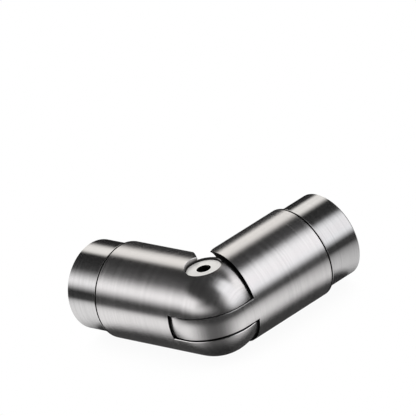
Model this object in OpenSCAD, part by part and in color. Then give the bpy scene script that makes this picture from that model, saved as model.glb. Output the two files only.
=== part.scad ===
// Adjustable handrail connector: two arms of one diameter, joined by a three-layer ball hinge.
// The origin is on the fork arm's axis, at the shoulder where its spigot begins.
// +X runs from that shoulder to the pivot, and +Z runs along the pivot towards the screw head.

/* [Diameters] */
// Outside diameter of both arms
tube_d = 42.4; // [40:0.1:48.3]
// Nominal depth of the shoulder between an arm and its spigot, on the radius
tube_wall = 1.5; // [1:0.1:2]
// Fitting room that the spigot is smaller by as well, on the radius
glue_gap = 0.15; // [0.05:0.05:0.4]

/* [Arms] */
// Distance from the pivot to the shoulder of each arm
arm_len = 51.2; // [48:0.1:60]
// Length of each spigot outside the arm
spigot_len = 18; // [12:0.5:40]
// Length of the reduced stub of a spigot, pressed into the arm
stub_len = 14; // [8:0.5:16]
// Step from the spigot's skin down to its stub, on the radius
stub_step = 2.5; // [1.5:0.1:3]
// Wall of the stub
stub_wall = 3; // [2:0.1:4]
// Distance from the pivot to the closed end of the hollow in each arm
core_end = 31; // [29:0.5:33]
// Lead-in chamfer on the free end of a spigot
lead_in = 0.8; // [0.3:0.1:1.5]
// Chamfer on the rim of each arm's shoulder
rim_chamfer = 0.4; // [0.2:0.1:0.8]

/* [Hinge] */
// Angle by which the photographed pose is bent away from straight
bend_angle = 84; // [0:1:104]
// Thickness of the middle tongue
tongue_t = 10; // [8:0.1:12]
// Open gap between tongue and upper lug
upper_gap = 0.3; // [0.2:0.05:0.6]
// Open gap between tongue and lower lug, which holds the disc spring
lower_gap = 1; // [0.8:0.05:1.5]
// Gap between the tongue's round end and the end of the slot
slot_gap = 1.1; // [0.6:0.1:2]
// Gap between the lugs' ball and the socket in the tongue half, at the top of the ball
socket_gap = 1.9; // [1.1:0.05:2.5]
// Shift of the socket's centre towards the inside of the bend
socket_shift = 1; // [0:0.1:1]
// Angle of the mitre on the inside of the bend, from square
mitre_angle = 52; // [46:1:54]
// Distance of the mitre face from the pivot's axis
mitre_gap = 1; // [0.5:0.1:2]

/* [Screw and pin] */
// Diameter of the flat screw head
head_d = 15.6; // [14:0.1:17]
// Depth of the flat head below the top of the arm
head_drop = 2.6; // [2.2:0.1:3.2]
// Height of the rim of the head above its cone
head_rim = 0.5; // [0.3:0.1:1]
// Gap between the head and its seat
head_gap = 0.1; // [0.05:0.05:0.2]
// Diameter of the screw's shank
shank_d = 8; // [6:0.5:8]
// Reach of the shank below the middle of the hinge
shank_reach = 9; // [6:0.5:11]
// Size of the hexagon socket across its flats
hex_af = 5; // [4:0.5:6]
// Depth of the hexagon socket
hex_depth = 3; // [2:0.1:4]
// Outside diameter of the threaded pivot pin
pin_d = 12; // [11:0.5:13]
// Drilled room in the pin below the end of the shank
drill_room = 1; // [0.5:0.5:2]
// Metal left between the pin and the bottom of the lower lug
pin_floor = 5.2; // [4:0.1:7]

/* [Bush and washers] */
// Wall of the bearing bush in the tongue
bush_wall = 1.5; // [1:0.1:2]
// Running clearance of pin and shank, on the radius
run_gap = 0.05; // [0.02:0.01:0.08]
// Outside diameter of the slide washer
washer_d = 28; // [24:0.5:30]
// Thickness of the slide washer
washer_t = 1; // [0.8:0.1:1.5]
// Outside diameter of the disc spring
spring_d = 25; // [22:0.5:30]
// Thickness of the disc spring's metal
spring_t = 0.7; // [0.5:0.05:0.75]

/* [Hidden] */
$fn = 96;
body_r = tube_d / 2;
spigot_r = body_r - tube_wall - glue_gap;
stub_r = spigot_r - stub_step;
spigot_bore_r = stub_r - stub_wall;
tongue_top = tongue_t / 2;
slot_top = tongue_top + upper_gap;
slot_bottom = -tongue_top - lower_gap;
slot_r = body_r + slot_gap;
socket_r = sqrt(pow(body_r + socket_gap, 2) + pow(socket_shift, 2));
head_top = body_r - head_drop;
head_r = head_d / 2;
shank_r = shank_d / 2;
cone_top = head_top - head_rim;
cone_tip = cone_top - head_r;
cone_bottom = cone_tip + shank_r;
well_r = head_r + 2 * head_gap;
pin_r = pin_d / 2;
pin_bottom = -body_r + pin_floor;
bush_r = pin_r + run_gap + bush_wall;
span = 4 * arm_len;
overcut = 1;

// Puts a piece drawn along +X from the pivot onto the fork arm
module on_fork() {
    translate([arm_len, 0, 0]) mirror([1, 0, 0]) children();
}

// Puts a piece drawn along +X from the pivot onto the tongue arm
module on_tongue() {
    translate([arm_len, 0, 0]) rotate([0, 0, bend_angle]) children();
}

// A plain cylinder between two distances along the arm
module along_arm(from, to, r) {
    translate([from, 0, 0]) rotate([0, 90, 0]) cylinder(h = to - from, r = r);
}

// The space on the inside of the bend that the other arm swings into
module mitre_cut() {
    rotate([0, 0, -mitre_angle])
        translate([mitre_gap - span, -span / 2, -span / 2]) cube(span);
}

// A flat layer of space between two heights
module layer(from, to) {
    translate([-span / 2, -span / 2, from]) cube([span, span, to - from]);
}

// Half outline of the ball at the pivot, which ends both arms
module ball_outline() {
    intersection() {
        circle(r = body_r);
        translate([0, -body_r]) square([body_r, 2 * body_r]);
    }
}

// Half outline of the straight part of an arm
module arm_outline() {
    polygon([
        [0, 0],
        [body_r, 0],
        [body_r, arm_len - rim_chamfer],
        [body_r - rim_chamfer, arm_len],
        [0, arm_len]
    ]);
}

// An arm with its ball end, mitred on the inside of the bend down to the ball
module mitred_arm() {
    rotate([0, 90, 0]) rotate_extrude() ball_outline();
    difference() {
        rotate([0, 90, 0]) rotate_extrude() arm_outline();
        mitre_cut();
    }
}

// Fork half: upper and lower lug, with the seats for screw head, pin and slide washer
module fork_body() {
    color([0.62, 0.61, 0.59]) on_fork() difference() {
        mitred_arm();
        along_arm(core_end, arm_len + overcut, stub_r);
        intersection() {
            sphere(r = slot_r);
            layer(slot_bottom, slot_top);
        }
        translate([0, 0, slot_top - overcut])
            cylinder(h = tongue_top + washer_t - slot_top + overcut, d = washer_d);
        translate([0, 0, cone_top]) cylinder(h = body_r, r = well_r);
        translate([0, 0, cone_tip]) cylinder(h = head_r, r1 = head_gap, r2 = head_r + head_gap);
        translate([0, 0, pin_bottom])
            cylinder(h = cone_tip + pin_r + overcut - pin_bottom, r = pin_r);
    }
}

// Tongue half: the middle layer of the hinge, with a spherical socket above and below it
module tongue_body() {
    color([0.62, 0.61, 0.59]) on_tongue() difference() {
        mitred_arm();
        along_arm(core_end, arm_len + overcut, stub_r);
        intersection() {
            translate([0, socket_shift, 0]) sphere(r = socket_r);
            layer(tongue_top, span / 2);
        }
        intersection() {
            translate([0, socket_shift, 0]) sphere(r = socket_r);
            layer(-span / 2, -tongue_top);
        }
        translate([0, 0, -tongue_top - overcut]) cylinder(h = tongue_t + 2 * overcut, r = bush_r);
    }
}

// A spigot: the narrower end outside the arm, and the stub pressed into the arm
module spigot() {
    difference() {
        union() {
            along_arm(arm_len - stub_len, arm_len + overcut, stub_r);
            translate([arm_len, 0, 0]) rotate([0, 90, 0]) rotate_extrude() polygon([
                [0, 0],
                [spigot_r, 0],
                [spigot_r, spigot_len - lead_in],
                [spigot_r - lead_in, spigot_len],
                [0, spigot_len]
            ]);
        }
        along_arm(arm_len - stub_len - overcut, arm_len + spigot_len + overcut, spigot_bore_r);
    }
}

module fork_spigot() {
    color([0.75, 0.74, 0.72]) on_fork() spigot();
}

module tongue_spigot() {
    color([0.75, 0.74, 0.72]) on_tongue() spigot();
}

// Countersunk pivot screw with a flat head and a hexagon socket
module pivot_screw() {
    color([0.88, 0.87, 0.84]) translate([arm_len, 0, 0]) difference() {
        rotate_extrude() polygon([
            [0, -shank_reach],
            [shank_r, -shank_reach],
            [shank_r, cone_bottom],
            [head_r, cone_top],
            [head_r, head_top],
            [0, head_top]
        ]);
        translate([0, 0, head_top - hex_depth])
            cylinder(h = hex_depth + overcut, d = hex_af / cos(30), $fn = 6);
    }
}

// Threaded pivot pin, seated in the lower lug, that the tongue turns on
module pivot_pin() {
    color([0.7, 0.69, 0.67]) translate([arm_len, 0, 0]) difference() {
        translate([0, 0, pin_bottom]) cylinder(h = cone_bottom - head_gap - pin_bottom, r = pin_r);
        translate([0, 0, -shank_reach - drill_room])
            cylinder(h = span, r = shank_r + run_gap);
    }
}

// Bearing bush, pressed into the tongue
module pivot_bush() {
    color([0.72, 0.55, 0.3]) on_tongue() difference() {
        translate([0, 0, -tongue_top]) cylinder(h = tongue_t, r = bush_r);
        translate([0, 0, -tongue_top - overcut])
            cylinder(h = tongue_t + 2 * overcut, r = pin_r + run_gap);
    }
}

// Slide washer, set into the underside of the upper lug
module slide_washer() {
    color([0.15, 0.15, 0.16]) translate([arm_len, 0, tongue_top]) difference() {
        cylinder(h = washer_t, d = washer_d);
        translate([0, 0, -overcut]) cylinder(h = washer_t + 2 * overcut, r = pin_r + run_gap);
    }
}

// Conical disc spring, which presses the tongue up against the slide washer
module disc_spring() {
    color([0.5, 0.5, 0.5]) translate([arm_len, 0, slot_bottom]) rotate_extrude() polygon([
        [pin_r + run_gap, lower_gap - spring_t],
        [spring_d / 2, 0],
        [spring_d / 2, spring_t],
        [pin_r + run_gap, lower_gap]
    ]);
}

fork_body();
tongue_body();
fork_spigot();
tongue_spigot();
pivot_screw();
pivot_pin();
pivot_bush();
slide_washer();
disc_spring();
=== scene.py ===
import math

import bmesh
import bpy
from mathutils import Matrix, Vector


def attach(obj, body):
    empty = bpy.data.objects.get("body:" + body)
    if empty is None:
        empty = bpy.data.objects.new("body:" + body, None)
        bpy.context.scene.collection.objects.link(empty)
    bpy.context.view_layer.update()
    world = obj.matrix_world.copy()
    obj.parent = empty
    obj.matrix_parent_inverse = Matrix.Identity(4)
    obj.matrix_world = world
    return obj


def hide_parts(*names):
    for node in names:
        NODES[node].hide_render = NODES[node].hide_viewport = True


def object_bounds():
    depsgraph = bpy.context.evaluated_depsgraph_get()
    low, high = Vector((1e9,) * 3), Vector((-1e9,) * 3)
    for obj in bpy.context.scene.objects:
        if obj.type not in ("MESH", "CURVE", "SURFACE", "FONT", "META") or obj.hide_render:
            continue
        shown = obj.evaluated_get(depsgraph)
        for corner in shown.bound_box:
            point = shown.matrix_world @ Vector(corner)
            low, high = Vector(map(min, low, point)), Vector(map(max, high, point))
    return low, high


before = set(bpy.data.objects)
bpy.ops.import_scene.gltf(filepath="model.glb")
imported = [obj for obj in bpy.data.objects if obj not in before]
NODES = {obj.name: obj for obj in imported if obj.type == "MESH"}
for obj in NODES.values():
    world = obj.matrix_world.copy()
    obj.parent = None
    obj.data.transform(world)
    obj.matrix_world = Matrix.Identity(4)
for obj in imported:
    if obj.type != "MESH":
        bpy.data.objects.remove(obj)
CAD_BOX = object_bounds()
MM = 0.001

# The two arms: their axes meet at the pivot, 51.2 mm from the origin
PIVOT = Vector((51.2, 0, 0)) * MM
BEND = math.radians(84)
FORK_AXIS = Vector((-1, 0, 0))
TONGUE_AXIS = Vector((math.cos(BEND), math.sin(BEND), 0))
UP = Vector((0, 0, 1))
BODY_R = 21.2 * MM

# The hinge: the slot between the lugs, the sockets beside the tongue and the screw head's well
SLOT_R = 22.3 * MM
SLOT_HALF = 6.0 * MM
SLOT_WALL_FROM = 21.6 * MM
SOCKET_SHIFT = 1.0 * MM
SOCKET_R = math.hypot(23.1, 1.0) * MM
WELL_R = 8.0 * MM
WELL_FROM = 8.0 * MM

# The seam groove round each arm, just short of its shoulder, by distance from the pivot
SEAM_AT = 49.8 * MM
SEAM_WIDTH = 0.75 * MM
SEAM_DEPTH = 0.6 * MM
SEAM_SLANT = 0.05 * MM
SEAM_OUTSIDE = 0.3 * MM
SEAM_COLUMNS = 96
SKIN_END = 50 * MM

# Eased edges: their size, the angle that counts as sharp and the one at which a chain of them ends
EASE = 0.24 * MM
SHARP = math.radians(38)
CORNER = math.radians(35)
# A chamfer's cutter reaches past the chain and the edge by so many sizes of the chamfer, and past
# each side of the chamfer by this share of its width
PAST = 1.5
OVERLAP = 0.6
# Points of the CAD mesh that are nearer than this are one, in metres
MERGE = 1e-6

# How near a point is to a surface that it counts as on: the skin or a socket, the wall of the
# well, or any round surface that gives a corner its normal
ON_ROUND = 0.06 * MM
ON_WELL = 0.02 * MM
ON_SURFACE = 0.03 * MM
# Room round the slot and the seam groove where their faces are picked out
NEAR = 0.1 * MM
UNDER_SKIN = 0.08 * MM
# Cosines: a level face, an upright wall, faces shaded as one, a face that follows a round surface
LEVEL_COS = 0.99
WALL_COS = 0.3
JOIN_COS = 0.96
ROUND_COS = 0.97

# The camera, fitted to the photograph
LENS = 536.89
SENSOR_WIDTH = 36
CAMERA_PLACE = (1.83349, -1.57544, 1.16019)
CAMERA_TURN = (64.1292, 13.4943, 41.8656)

# The studio that the metal reflects: soft pale panels between dark flags
# Each panel: azimuth, half width in full and at its soft edge, four elevations, colour
WARM = (1.09, 1.07, 1.03)
NEUTRAL = (1.08, 1.075, 1.08)
COOL = (1.06, 1.075, 1.10)
DIM = (0.90, 0.90, 0.90)
FAINT = (0.46, 0.465, 0.48)
PANELS = (
    (-150, 20, 46, 3, 22, 23, 42, NEUTRAL),
    (-110, 10, 48, 6, 26, 34, 51, NEUTRAL),
    (-95, 0, 66, 6, 22, 22, 38, DIM),
    (36, 27, 60, 0, 21, 36, 52, NEUTRAL),
    (22, 16, 38, -4, 16, 56, 76, COOL),
    (78, 10, 32, 16, 32, 38, 51, FAINT),
    (143, 8, 20, 15, 30, 40, 52, WARM),
    (127, 4, 24, 24, 36, 42, 58, WARM),
)
FLAG_LEVEL = 0.018
DIFFUSE_LEVEL = 0.95

# The floor. Each ramp: where it starts and ends, and its level there
FLOOR_HALF = 6.0
SHADOW_REACH = 0.10
SEEN_SHADOW = (0.1, 0.7, 0.95, 1.0)
MIRRORED_SHADOW = (0.55, 0.88, 0.03, 1.0)
NEAR_SIDE = (0.04, 0.10, 0.0, 0.08)
POOL_CENTRE = (0.010, -0.005)
POOL = (0.06, 0.20, 0.88, 0.03)
# Darker wedges in the pool, towards the camera and behind the object, between its two lit sides
# Each wedge: azimuth, half width at its darkest and at its soft edge, level
WEDGES = ((-51, 8, 58, 0.10), (139, 10, 50, 0.35))

# The grain of metal: noise cells per metre across and along it, for fine and for broad marks
FINE_GRAIN = (9000.0, 60.0)
BROAD_GRAIN = (1400.0, 22.0)
FINE_SHARE = 0.4
GRAIN_TONE = 0.45
# It fades where the axis leaves a ball end, so that no rings show there
GRAIN_FADE = (2 * MM, 11 * MM, 0.15, 1.0)
# Wear shows where the surface turns within a fraction of a millimetre
WEAR_RADIUS = 0.4 * MM
WEAR_TURN = (0.01, 0.12)
WEAR_PATCHES = (0.3, 0.6)
WEAR_TONE = 0.25
WEAR_ROUGH = -0.08
# How dark the painted shade low in a recess gets, as a share of the tone
SHADE_BELOW_TONE = 0.08


# Node helpers
class Graph:
    """Adds nodes to one tree, with short calls for the maths."""

    def __init__(self, tree):
        self.tree = tree
        tree.nodes.clear()

    def add(self, kind, **props):
        node = self.tree.nodes.new(kind)
        for key, value in props.items():
            setattr(node, key, value)
        return node

    def put(self, socket, value):
        if isinstance(value, bpy.types.NodeSocket):
            self.tree.links.new(value, socket)
        elif value is not None:
            socket.default_value = value

    def math(self, operation, a, b=None, c=None):
        node = self.add("ShaderNodeMath", operation=operation)
        for socket, value in zip(node.inputs, (a, b, c)):
            self.put(socket, value)
        return node.outputs[0]

    def vector(self, operation, a, b=None, scale=None):
        node = self.add("ShaderNodeVectorMath", operation=operation)
        self.put(node.inputs[0], a)
        self.put(node.inputs[1], b)
        if scale is not None:
            self.put(node.inputs["Scale"], scale)
        return node.outputs["Value" if operation in ("DOT_PRODUCT", "LENGTH") else "Vector"]

    def part(self, vector, index):
        """The X, Y or Z part of a vector."""
        node = self.add("ShaderNodeSeparateXYZ")
        self.put(node.inputs[0], vector)
        return node.outputs[index]

    def ramp(self, value, low, high, to_low=0.0, to_high=1.0):
        """Smooth step of value from low..high to to_low..to_high."""
        node = self.add("ShaderNodeMapRange", interpolation_type="SMOOTHSTEP")
        for name, v in (("Value", value), ("From Min", low), ("From Max", high),
                        ("To Min", to_low), ("To Max", to_high)):
            self.put(node.inputs[name], v)
        return node.outputs["Result"]

    def off_azimuth(self, level, azimuth):
        """Angle in degrees between a level direction and an azimuth."""
        turn = math.radians(azimuth)
        facing = self.vector("DOT_PRODUCT", level, (math.cos(turn), math.sin(turn), 0))
        return self.math("MULTIPLY", self.math("ARCCOSINE", facing), math.degrees(1))

    def noise(self, place, scale, detail=2.0):
        node = self.add("ShaderNodeTexNoise")
        node.inputs["Scale"].default_value = scale
        node.inputs["Detail"].default_value = detail
        self.put(node.inputs["Vector"], place)
        return node.outputs["Fac"]

    def bump(self, height, distance, strength=1.0):
        node = self.add("ShaderNodeBump")
        node.inputs["Strength"].default_value = strength
        node.inputs["Distance"].default_value = distance
        self.put(node.inputs["Height"], height)
        return node.outputs[0]


# Camera and studio
def make_camera():
    data = bpy.data.cameras.new("camera")
    data.sensor_width = SENSOR_WIDTH
    data.lens = LENS
    camera = bpy.data.objects.new("camera", data)
    camera.location = CAMERA_PLACE
    camera.rotation_euler = [math.radians(angle) for angle in CAMERA_TURN]
    bpy.context.scene.collection.objects.link(camera)
    bpy.context.scene.camera = camera


def make_world():
    """Reflections see the panels. The camera and glass see white, and diffuse light is nearly white."""
    world = bpy.data.worlds.new("studio")
    bpy.context.scene.world = world
    world.use_nodes = True
    g = Graph(world.node_tree)
    direction = g.add("ShaderNodeTexCoord").outputs["Generated"]
    rise = g.vector("DOT_PRODUCT", direction, (0, 0, 1))
    elevation = g.math("MULTIPLY", g.math("ARCSINE", rise), math.degrees(1))
    level = g.vector("NORMALIZE", g.vector("MULTIPLY", direction, (1, 1, 0)))
    mirrored = (FLAG_LEVEL,) * 3
    for azimuth, inner, outer, low, low_full, high_full, high, colour in PANELS:
        sideways = g.ramp(g.off_azimuth(level, azimuth), inner, outer, 1.0, 0.0)
        upwards = g.math("MULTIPLY", g.ramp(elevation, low, low_full),
                         g.ramp(elevation, high_full, high, 1.0, 0.0))
        panel = g.math("MULTIPLY", sideways, upwards)
        mirrored = g.vector("MAXIMUM", g.vector("SCALE", colour, scale=panel), mirrored)

    path = g.add("ShaderNodeLightPath")
    glossy = path.outputs["Is Glossy Ray"]
    seen = g.math("MAXIMUM", path.outputs["Is Camera Ray"], path.outputs["Is Transmission Ray"])
    white = g.math("MULTIPLY_ADD", seen, 1 - DIFFUSE_LEVEL, DIFFUSE_LEVEL)
    plain = g.math("MULTIPLY", g.math("SUBTRACT", 1.0, glossy), white)
    background = g.add("ShaderNodeBackground")
    background.inputs["Strength"].default_value = 1.0
    g.put(background.inputs["Color"], g.vector("ADD", g.vector("SCALE", mirrored, scale=glossy),
                                               g.vector("SCALE", (1, 1, 1), scale=plain)))
    g.put(g.add("ShaderNodeOutputWorld").inputs["Surface"], background.outputs[0])


# Materials
def new_material(name):
    mat = bpy.data.materials.new(name)
    mat.use_nodes = True
    return mat, Graph(mat.node_tree)


def principled(name):
    mat, g = new_material(name)
    shader = g.add("ShaderNodeBsdfPrincipled")
    g.put(g.add("ShaderNodeOutputMaterial").inputs["Surface"], shader.outputs[0])
    return mat, g, shader


def turned_metal(name, axis, colour, rough, grain, bump, anisotropy=0.0, wear=0.35,
                 metallic=1.0, shade_below=None):
    """Brushed or turned metal, with its grain round an axis through the pivot and brighter edges.
    The last argument gives two heights: below the first the metal is darkened as painted shade, and above
    the second it keeps its tone."""
    mat, g, shader = principled(name)
    axis = tuple(axis)
    place = g.add("ShaderNodeTexCoord").outputs["Object"]
    arm = g.vector("SUBTRACT", place, tuple(PIVOT))
    along = g.vector("DOT_PRODUCT", arm, axis)
    off_axis = g.vector("LENGTH", g.vector("SUBTRACT", arm, g.vector("SCALE", axis, scale=along)))
    across = g.math("ADD", along, off_axis)
    to_world = g.add("ShaderNodeVectorTransform", vector_type="VECTOR",
                     convert_from="OBJECT", convert_to="WORLD")
    g.put(to_world.inputs[0], axis)
    g.put(shader.inputs["Tangent"], g.vector("NORMALIZE", to_world.outputs[0]))
    shader.inputs["Metallic"].default_value = metallic
    shader.inputs["Anisotropic"].default_value = anisotropy

    def streaks(cells_across, cells_along):
        """Noise that is fine across the grain and long around it."""
        stretched = g.vector("ADD", g.vector("SCALE", arm, scale=cells_along),
                             g.vector("SCALE", axis, scale=g.math("MULTIPLY", across, cells_across)))
        return g.noise(stretched, 1.0, detail=3.0)

    fine, broad = streaks(*FINE_GRAIN), streaks(*BROAD_GRAIN)
    marks = g.math("ADD", g.math("MULTIPLY", fine, FINE_SHARE), g.math("MULTIPLY", broad, 1 - FINE_SHARE))
    centred = g.math("MULTIPLY", g.math("SUBTRACT", marks, 0.5), g.ramp(off_axis, *GRAIN_FADE))

    bevel = g.add("ShaderNodeBevel", samples=4)
    bevel.inputs["Radius"].default_value = WEAR_RADIUS
    normal = g.add("ShaderNodeNewGeometry").outputs["Normal"]
    turn = g.math("SUBTRACT", 1.0, g.vector("DOT_PRODUCT", bevel.outputs[0], normal))
    patches = g.ramp(broad, *WEAR_PATCHES, wear * 0.5, wear)
    worn = g.math("MULTIPLY", g.ramp(turn, *WEAR_TURN), patches)

    roughness = g.math("MULTIPLY_ADD", centred, grain, rough)
    g.put(shader.inputs["Roughness"], g.math("MULTIPLY_ADD", worn, WEAR_ROUGH, roughness))
    tone = g.math("MULTIPLY_ADD", centred, GRAIN_TONE, 1.0)
    tone = g.math("MULTIPLY_ADD", worn, WEAR_TONE, tone)
    # Painted shade: darker towards the bottom, between the two given heights
    if shade_below:
        tone = g.math("MULTIPLY", tone, g.ramp(g.part(place, 2), *shade_below, SHADE_BELOW_TONE, 1.0))
    g.put(shader.inputs["Base Color"], g.vector("SCALE", colour, scale=tone))
    g.put(shader.inputs["Normal"], g.bump(fine, bump))
    return mat


def brushed_skin(name, axis):
    """Satin steel, brushed round an arm."""
    return turned_metal(name, axis, (0.80, 0.78, 0.778), rough=0.23, grain=0.22, bump=0.008 * MM,
                        anisotropy=0.6)


def lathe_skin(name, axis):
    """The smoother steel of a spigot, as the lathe left it."""
    return turned_metal(name, axis, (0.71, 0.70, 0.70), rough=0.16, grain=0.1, bump=0.003 * MM,
                        anisotropy=0.6)


# Near-black steel in the slot, the seam grooves and the sockets beside the lugs: painted shade of these
# narrow gaps
def slot_painted_shade():
    return turned_metal("slot_painted_shade", UP, (0.06, 0.06, 0.058), rough=0.5, grain=0.2,
                        bump=0.004 * MM, wear=0.2)


# The wall of the screw head's well: rougher than the arms, and darker partly as the drilled finish and
# partly as painted shade of the recess. It is painted darker still towards its bottom, as shade near the
# head.
def drilled_and_shaded_well():
    return turned_metal("drilled_and_shaded_well", UP, (0.45, 0.44, 0.44), rough=0.42, grain=0.2,
                        bump=0.004 * MM, wear=0.2, shade_below=(19.2 * MM, 20.6 * MM))


def pale_head():
    return turned_metal("pale_head", UP, (0.93, 0.915, 0.89), rough=0.34, grain=0.12,
                        bump=0.003 * MM, metallic=0.3)


# Near-black inside the hexagon socket and its drill point: painted shade of the deep hole
def socket_painted_shade():
    return turned_metal("socket_painted_shade", UP, (0.012, 0.012, 0.012), rough=0.6, grain=0.2,
                        bump=0.004 * MM, wear=0.1)


def ground_pin():
    return turned_metal("ground_pin", UP, (0.60, 0.59, 0.58), rough=0.24, grain=0.12,
                        bump=0.002 * MM, anisotropy=0.3)


def bearing_bronze():
    return turned_metal("bearing_bronze", UP, (0.58, 0.38, 0.17), rough=0.34, grain=0.2,
                        bump=0.003 * MM, anisotropy=0.2)


def spring_steel():
    return turned_metal("spring_steel_dark", UP, (0.22, 0.22, 0.23), rough=0.38, grain=0.2,
                        bump=0.003 * MM, anisotropy=0.2)


def slide_plastic():
    """Dark sliding plastic, with a fine matt grain and paler, smoother rubbed patches."""
    mat, g, shader = principled("slide_plastic_dark")
    colour, rough, paler, smoother = (0.022, 0.022, 0.024), 0.5, 0.8, -0.12
    patch_scale, matt_scale, matt_height = 220.0, 4000.0, 0.01 * MM
    place = g.add("ShaderNodeTexCoord").outputs["Object"]
    rubbed = g.ramp(g.noise(place, patch_scale), 0.45, 0.7)
    tone = g.math("MULTIPLY_ADD", rubbed, paler, 1.0)
    g.put(shader.inputs["Base Color"], g.vector("SCALE", colour, scale=tone))
    g.put(shader.inputs["Roughness"], g.math("MULTIPLY_ADD", rubbed, smoother, rough))
    g.put(shader.inputs["Normal"], g.bump(g.noise(place, matt_scale), matt_height, strength=0.5))
    return mat


def floor_paint(z):
    """White with a contact shadow to the camera. In reflections, a lit pool with darker wedges."""
    mat, g = new_material("floor_paint")
    occlusion = g.add("ShaderNodeAmbientOcclusion", samples=16)
    occlusion.inputs["Distance"].default_value = SHADOW_REACH
    ao = occlusion.outputs["AO"]
    place = g.add("ShaderNodeNewGeometry").outputs["Position"]
    away = g.vector("LENGTH", g.vector("SUBTRACT", place, (*POOL_CENTRE, z)))
    pool = g.ramp(away, *POOL)
    outward = g.vector("NORMALIZE", g.vector("SUBTRACT", place, (PIVOT.x, PIVOT.y, z)))
    for azimuth, inner, outer, least in WEDGES:
        wedge = g.ramp(g.off_azimuth(outward, azimuth), inner, outer, least, 1.0)
        pool = g.math("MULTIPLY", pool, wedge)
    near = g.math("ADD", ao, g.ramp(g.part(place, 0), *NEAR_SIDE))
    mix = g.add("ShaderNodeMix", data_type="FLOAT")
    g.put(mix.inputs["Factor"], g.add("ShaderNodeLightPath").outputs["Is Glossy Ray"])
    g.put(mix.inputs["A"], g.ramp(ao, *SEEN_SHADOW))
    g.put(mix.inputs["B"], g.math("MULTIPLY", g.ramp(near, *MIRRORED_SHADOW), pool))
    glow = g.add("ShaderNodeEmission")
    g.put(glow.inputs["Strength"], mix.outputs["Result"])
    g.put(g.add("ShaderNodeOutputMaterial").inputs["Surface"], glow.outputs[0])
    return mat


# Meshes
def new_piece(name, mesh, mats):
    piece = bpy.data.objects.new(name, mesh)
    bpy.context.scene.collection.objects.link(piece)
    mesh.materials.clear()
    for mat in mats:
        mesh.materials.append(mat)
    return piece


def closed_mesh(name, verts, faces, in_triangles=False):
    """A closed mesh with all its faces turned outwards."""
    mesh = bpy.data.meshes.new(name)
    mesh.from_pydata(verts, [], faces)
    bm = bmesh.new()
    bm.from_mesh(mesh)
    if in_triangles:
        bmesh.ops.triangulate(bm, faces=bm.faces)
    bmesh.ops.recalc_face_normals(bm, faces=bm.faces)
    bm.to_mesh(mesh)
    bm.free()
    return mesh


def make_floor():
    z = CAD_BOX[0][2]
    mesh = bpy.data.meshes.new("floor")
    corners = ((-1, -1), (1, -1), (1, 1), (-1, 1))
    mesh.from_pydata([(x * FLOOR_HALF, y * FLOOR_HALF, z) for x, y in corners], [], [(0, 1, 2, 3)])
    floor = new_piece("floor", mesh, (floor_paint(z),))


# Places on the arms
def split_along(point, axis):
    """A point's distance along an axis through the pivot, and its offset from that axis."""
    arm = point - PIVOT
    along = arm.dot(axis)
    return along, arm - axis * along


def on_skin(axis):
    """Tells whether a point is on the outer skin of an arm, short of its shoulder."""
    def test(point):
        along, beside = split_along(point, axis)
        on_arm = abs(beside.length - BODY_R) < ON_ROUND and along > 0
        on_ball = abs((point - PIVOT).length - BODY_R) < ON_ROUND
        return (on_arm or on_ball) and along < SKIN_END
    return test


def in_seam(point, axis):
    along, beside = split_along(point, axis)
    below_skin = BODY_R - SEAM_DEPTH - NEAR < beside.length < BODY_R - UNDER_SKIN
    return below_skin and SEAM_AT - NEAR < along < SEAM_AT + SEAM_WIDTH + NEAR


def in_slot(arm):
    return arm.length < SLOT_R + NEAR and abs(arm.z) < SLOT_HALF + NEAR


def is_level(normal):
    return abs(normal.z) > LEVEL_COS


def fork_zone(point, normal):
    """The fork's skin is 0, its slot and seam groove are 1, and the well of the screw head is 2."""
    arm = point - PIVOT
    in_hinge = in_slot(arm) and (is_level(normal) or arm.length > SLOT_WALL_FROM)
    if in_seam(point, FORK_AXIS) or in_hinge:
        return 1
    in_well = math.hypot(arm.x, arm.y) < WELL_R + ON_WELL and arm.z > WELL_FROM
    return 2 if in_well and abs(normal.z) < WALL_COS else 0


def tongue_zone(point, normal):
    """The tongue's skin is 0, and its seam groove and the faces and sockets beside the lugs are 1."""
    arm = point - PIVOT
    if in_seam(point, TONGUE_AXIS) or (in_slot(arm) and is_level(normal)):
        return 1
    shift = Vector((-TONGUE_AXIS.y, TONGUE_AXIS.x, 0)) * SOCKET_SHIFT
    return 1 if abs((arm - shift).length - SOCKET_R) < ON_ROUND else 0


# Round surfaces, each a function that tells how far a point is off it and which way is out
def ball(radius):
    return lambda point: ((point - PIVOT).length - radius, (point - PIVOT).normalized())


def cylinder(axis, radius):
    def measure(point):
        beside = split_along(point, axis)[1]
        return beside.length - radius, beside.normalized()
    return measure


def arm_surfaces(axis):
    return [ball(BODY_R), cylinder(axis, BODY_R), cylinder(axis, BODY_R - SEAM_DEPTH), ball(SLOT_R),
            cylinder(UP, WELL_R)]


# Castings: the CAD solids with their edges eased
def edge_chains(bm, chosen):
    """Chains of sharp outward edges whose ends are both chosen, as lists of vertices."""
    sharp = [e for e in bm.edges if e.is_convex and e.calc_face_angle(0) > SHARP
             and all(chosen(v.co) for v in e.verts)]
    at = {}
    for e in sharp:
        for v in e.verts:
            at.setdefault(v, []).append(e)

    def turns(v):
        if len(at[v]) != 2:
            return True
        a, b = (e.other_vert(v).co - v.co for e in at[v])
        return a.angle(-b, 0) > CORNER

    ends = {v for v in at if turns(v)}
    left = set(sharp)
    chains = []

    def walk(start, edge):
        chain, v = [start], start
        while edge is not None:
            left.discard(edge)
            v = edge.other_vert(v)
            chain.append(v)
            edge = None if v in ends else next((e for e in at[v] if e in left), None)
        return chain

    for v in sorted(ends, key=lambda v: v.index):
        for e in at[v]:
            if e in left:
                chains.append(walk(v, e))
    while left:
        e = min(left, key=lambda e: e.index)
        chains.append(walk(e.verts[0], e))
    return chains


def side_normals(a, b):
    """Normals of the faces left and right of the edge from a to b."""
    edge = next(e for e in a.link_edges if e.other_vert(a) == b)
    left = right = None
    for loop in edge.link_loops:
        if loop.vert == a:
            left = loop.face.normal
        else:
            right = loop.face.normal
    return left, right


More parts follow.
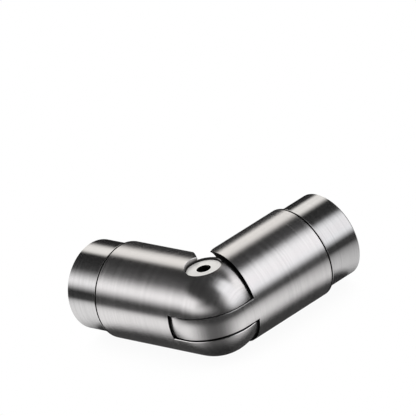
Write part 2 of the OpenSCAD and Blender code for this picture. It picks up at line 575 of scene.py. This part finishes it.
def chamfer_cutter(chain, size):
    """A thin prism along one edge chain, whose inner face is the chamfer."""
    closed = chain[0] == chain[-1]
    spans = [side_normals(a, b) for a, b in zip(chain, chain[1:])]
    points = chain[:-1] if closed else chain
    last = len(points) - 1
    verts = []
    for i, v in enumerate(points):
        near = [spans[i - 1] if i or closed else spans[0], spans[i] if i < len(spans) else spans[-1]]
        left = sum((s[0] for s in near), Vector()).normalized()
        right = sum((s[1] for s in near), Vector()).normalized()
        before = points[i - 1].co if i or closed else v.co
        after = points[(i + 1) % len(points)].co if i < last or closed else v.co
        along = (after - before).normalized()
        into_left = left.cross(along).normalized()
        into_right = along.cross(right).normalized()
        co = v.co.copy()
        if not closed and i == 0:
            co -= along * size * PAST
        if not closed and i == last:
            co += along * size * PAST
        a, b = co + into_left * size, co + into_right * size
        over = (a - b) * OVERLAP
        apex = co + (left + right).normalized() * size * PAST
        verts += [a + over, b - over, apex]
    faces = []
    for i in range(len(points) if closed else last):
        j = (i + 1) % len(points)
        for k in range(3):
            m = (k + 1) % 3
            faces.append((3 * i + k, 3 * i + m, 3 * j + m, 3 * j + k))
    if not closed:
        faces += [(2, 1, 0), (3 * last, 3 * last + 1, 3 * last + 2)]
    return closed_mesh("cutter", verts, faces, in_triangles=True)


def seam_cutter(axis):
    """A ring that cuts the fine seam groove just short of an arm's shoulder."""
    bottom, above = BODY_R - SEAM_DEPTH, BODY_R + SEAM_OUTSIDE
    start, end = SEAM_AT, SEAM_AT + SEAM_WIDTH
    profile = [(start - SEAM_SLANT, above), (start + SEAM_SLANT, bottom),
               (end - SEAM_SLANT, bottom), (end + SEAM_SLANT, above)]
    side = axis.cross(UP)
    rows = len(profile)
    verts, faces = [], []
    for i in range(SEAM_COLUMNS):
        angle = 2 * math.pi * i / SEAM_COLUMNS
        spoke = UP * math.cos(angle) + side * math.sin(angle)
        verts += [PIVOT + axis * along + spoke * radius for along, radius in profile]
        for k in range(rows):
            j, m = (i + 1) % SEAM_COLUMNS, (k + 1) % rows
            faces.append((i * rows + k, i * rows + m, j * rows + m, j * rows + k))
    return closed_mesh("seam_cutter", verts, faces)


def cut_away(piece, cutters):
    """Takes the cutter meshes away from the piece, and gives it the finished mesh."""
    tools = [new_piece("cutter", cutter, ()) for cutter in cutters]
    bpy.context.view_layer.update()
    for tool in tools:
        cut = piece.modifiers.new("cut", "BOOLEAN")
        cut.operation = "DIFFERENCE"
        cut.solver = "EXACT"
        cut.object = tool
    depsgraph = bpy.context.evaluated_depsgraph_get()
    mesh = bpy.data.meshes.new_from_object(piece.evaluated_get(depsgraph))
    piece.modifiers.clear()
    piece.data = mesh
    mesh.name = piece.name
    for tool in tools:
        bpy.data.objects.remove(tool)


def shade_true(mesh, surfaces, zone):
    """Gives each corner the normal of the true round surface it lies on, or else one that joins
    the nearly level faces around it. The zone of a face names its material."""
    around = {}
    for face in mesh.polygons:
        for index in face.vertices:
            around.setdefault(index, []).append(face.normal.copy())
    normals = []
    for face in mesh.polygons:
        face.use_smooth = True
        face.material_index = zone(face.center, face.normal)
        for index in face.vertices:
            point = mesh.vertices[index].co
            level = [n for n in around[index] if n.dot(face.normal) > JOIN_COS]
            best = sum(level, Vector()).normalized()
            for surface in surfaces:
                off, out = surface(point)
                if abs(off) < ON_SURFACE and abs(out.dot(face.normal)) > ROUND_COS:
                    best = out if out.dot(face.normal) > 0 else -out
                    break
            normals.append(best)
    mesh.normals_split_custom_set(normals)


def eased_copy(node, name, axis, mats, zone):
    """The CAD node's own shape with its outward edges eased, shaded by its true round surfaces."""
    mesh = bpy.data.meshes.new(name)
    bm = bmesh.new()
    bm.from_mesh(NODES[node].data)
    bmesh.ops.remove_doubles(bm, verts=bm.verts, dist=MERGE)
    bm.verts.index_update()
    bm.edges.index_update()
    bm.normal_update()
    cutters = [chamfer_cutter(chain, EASE) for chain in edge_chains(bm, on_skin(axis)) if len(chain) > 2]
    bm.to_mesh(mesh)
    bm.free()
    piece = new_piece(name, mesh, mats)
    cut_away(piece, cutters + [seam_cutter(axis)])
    shade_true(piece.data, arm_surfaces(axis), zone)
    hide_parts(node)
    return piece


# Pivot screw: thread, cone, eased head and hexagon socket, as rings of points round its axis.
# Its sizes are in millimetres, with heights from the middle of the hinge.
SCREW_COLUMNS = 60
SCREW_SHARP = math.radians(35)
TIP_Z = -9.0
DRILL_POINT_Z = 14.8


def screw_rings():
    """Rings of (radius, height) points from the tip up over the head and down into the socket.
    Each comes with its material: 0 is the steel, and 1 the socket."""
    pitch, crest, depth, crest_flat, flank = 1.25, 3.97, 0.70, 0.125, 0.75
    thread_from, thread_to, rings_per_turn = -8.7, 10.0, 8
    tip_r, lead_r, lead, shank_top = 3.3, 3.75, 0.2, 14.3
    cone_top, head_top, head_r, ease = 18.1, 18.6, 7.8, 0.2
    rim_inset, rim_rise = 0.03, 0.04
    mouth, mouth_edge, flat, socket_floor, lip = 3.0, 0.15, 2.5, 15.6, 0.02
    drill_r, drill_drop = 2.3, 0.05
    rings = []

    def plain(radius, z, mat=0):
        rings.append((mat, [(radius, z)] * SCREW_COLUMNS))

    def thread_depth(z, turn):
        phase = (z / pitch - turn) % 1.0
        off_crest = abs(phase - 0.5) * 2
        fade = min(1.0, (z - thread_from) / pitch, (thread_to - z) / pitch)
        return depth * max(0.0, fade) * min(1.0, max(0.0, (off_crest - crest_flat) / flank))

    plain(tip_r, TIP_Z)
    plain(lead_r, TIP_Z + lead)
    steps = round((thread_to - thread_from) / pitch * rings_per_turn)
    for k in range(steps + 1):
        z = thread_from + (thread_to - thread_from) * k / steps
        rings.append((0, [(crest - thread_depth(z, j / SCREW_COLUMNS), z) for j in range(SCREW_COLUMNS)]))
    plain(crest, shank_top)
    plain(head_r - rim_inset, cone_top)
    plain(head_r, cone_top + rim_rise)
    for degrees in (0, 22.5, 45, 67.5, 90):
        turn = math.radians(degrees)
        plain(head_r - ease * (1 - math.cos(turn)), head_top - ease * (1 - math.sin(turn)))
    plain(head_r - 2 * ease, head_top)
    plain(mouth + mouth_edge, head_top)
    plain(mouth, head_top - lip, 1)

    hexagon = [flat / math.cos(math.radians(360 * j / SCREW_COLUMNS % 60 - 30))
               for j in range(SCREW_COLUMNS)]
    rings.append((1, [(radius, head_top - lip - (mouth - radius)) for radius in hexagon]))
    rings.append((1, [(radius, socket_floor) for radius in hexagon]))
    plain(drill_r, socket_floor - drill_drop, 1)
    return rings


def make_screw(mats):
    """A right-hand metric thread up to a countersunk head."""
    rings = screw_rings()
    verts, faces, kinds = [], [], []
    for mat, ring in rings:
        for j, (radius, z) in enumerate(ring):
            angle = 2 * math.pi * j / SCREW_COLUMNS
            verts.append(PIVOT + Vector((radius * math.cos(angle), radius * math.sin(angle), z)) * MM)
    for k in range(len(rings) - 1):
        low, high = k * SCREW_COLUMNS, (k + 1) * SCREW_COLUMNS
        for j in range(SCREW_COLUMNS):
            n = (j + 1) % SCREW_COLUMNS
            faces.append((low + j, low + n, high + n, high + j))
            kinds.append(rings[k + 1][0])
    tip, drill_point, top = len(verts), len(verts) + 1, len(verts) - SCREW_COLUMNS
    verts += [PIVOT + UP * TIP_Z * MM, PIVOT + UP * DRILL_POINT_Z * MM]
    for j in range(SCREW_COLUMNS):
        n = (j + 1) % SCREW_COLUMNS
        faces += [(tip, n, j), (top + j, top + n, drill_point)]
        kinds += [0, 1]
    mesh = bpy.data.meshes.new("countersunk_screw")
    mesh.from_pydata(verts, [], faces)
    piece = new_piece("countersunk_screw", mesh, mats)
    for face, kind in zip(mesh.polygons, kinds):
        face.material_index = kind
        face.use_smooth = True
    mesh.set_sharp_from_angle(angle=SCREW_SHARP)
    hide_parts("pivot_screw")
    return piece


make_camera()
make_world()
make_floor()

fork_steel = brushed_skin("brushed_fork", FORK_AXIS)
tongue_steel = brushed_skin("brushed_tongue", TONGUE_AXIS)
slot_shade_steel = slot_painted_shade()
well_steel = drilled_and_shaded_well()
head_steel = pale_head()
socket_shade_steel = socket_painted_shade()
CARRIED = {
    "fork_spigot": lathe_skin("turned_fork", FORK_AXIS),
    "tongue_spigot": lathe_skin("turned_tongue", TONGUE_AXIS),
    "pivot_pin": ground_pin(),
    "pivot_bush": bearing_bronze(),
    "disc_spring": spring_steel(),
    "slide_washer": slide_plastic(),
}
for node, mat in CARRIED.items():
    for slot in NODES[node].material_slots:
        slot.material = mat

fork_casting = eased_copy("fork_body", "fork_casting", FORK_AXIS, (fork_steel, slot_shade_steel, well_steel),
                          fork_zone)
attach(fork_casting, "fork_half")
tongue_casting = eased_copy("tongue_body", "tongue_casting", TONGUE_AXIS, (tongue_steel, slot_shade_steel),
                            tongue_zone)
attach(tongue_casting, "tongue_half")
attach(make_screw((head_steel, socket_shade_steel)), "screw")

bpy.context.scene.view_settings.view_transform = "Standard"
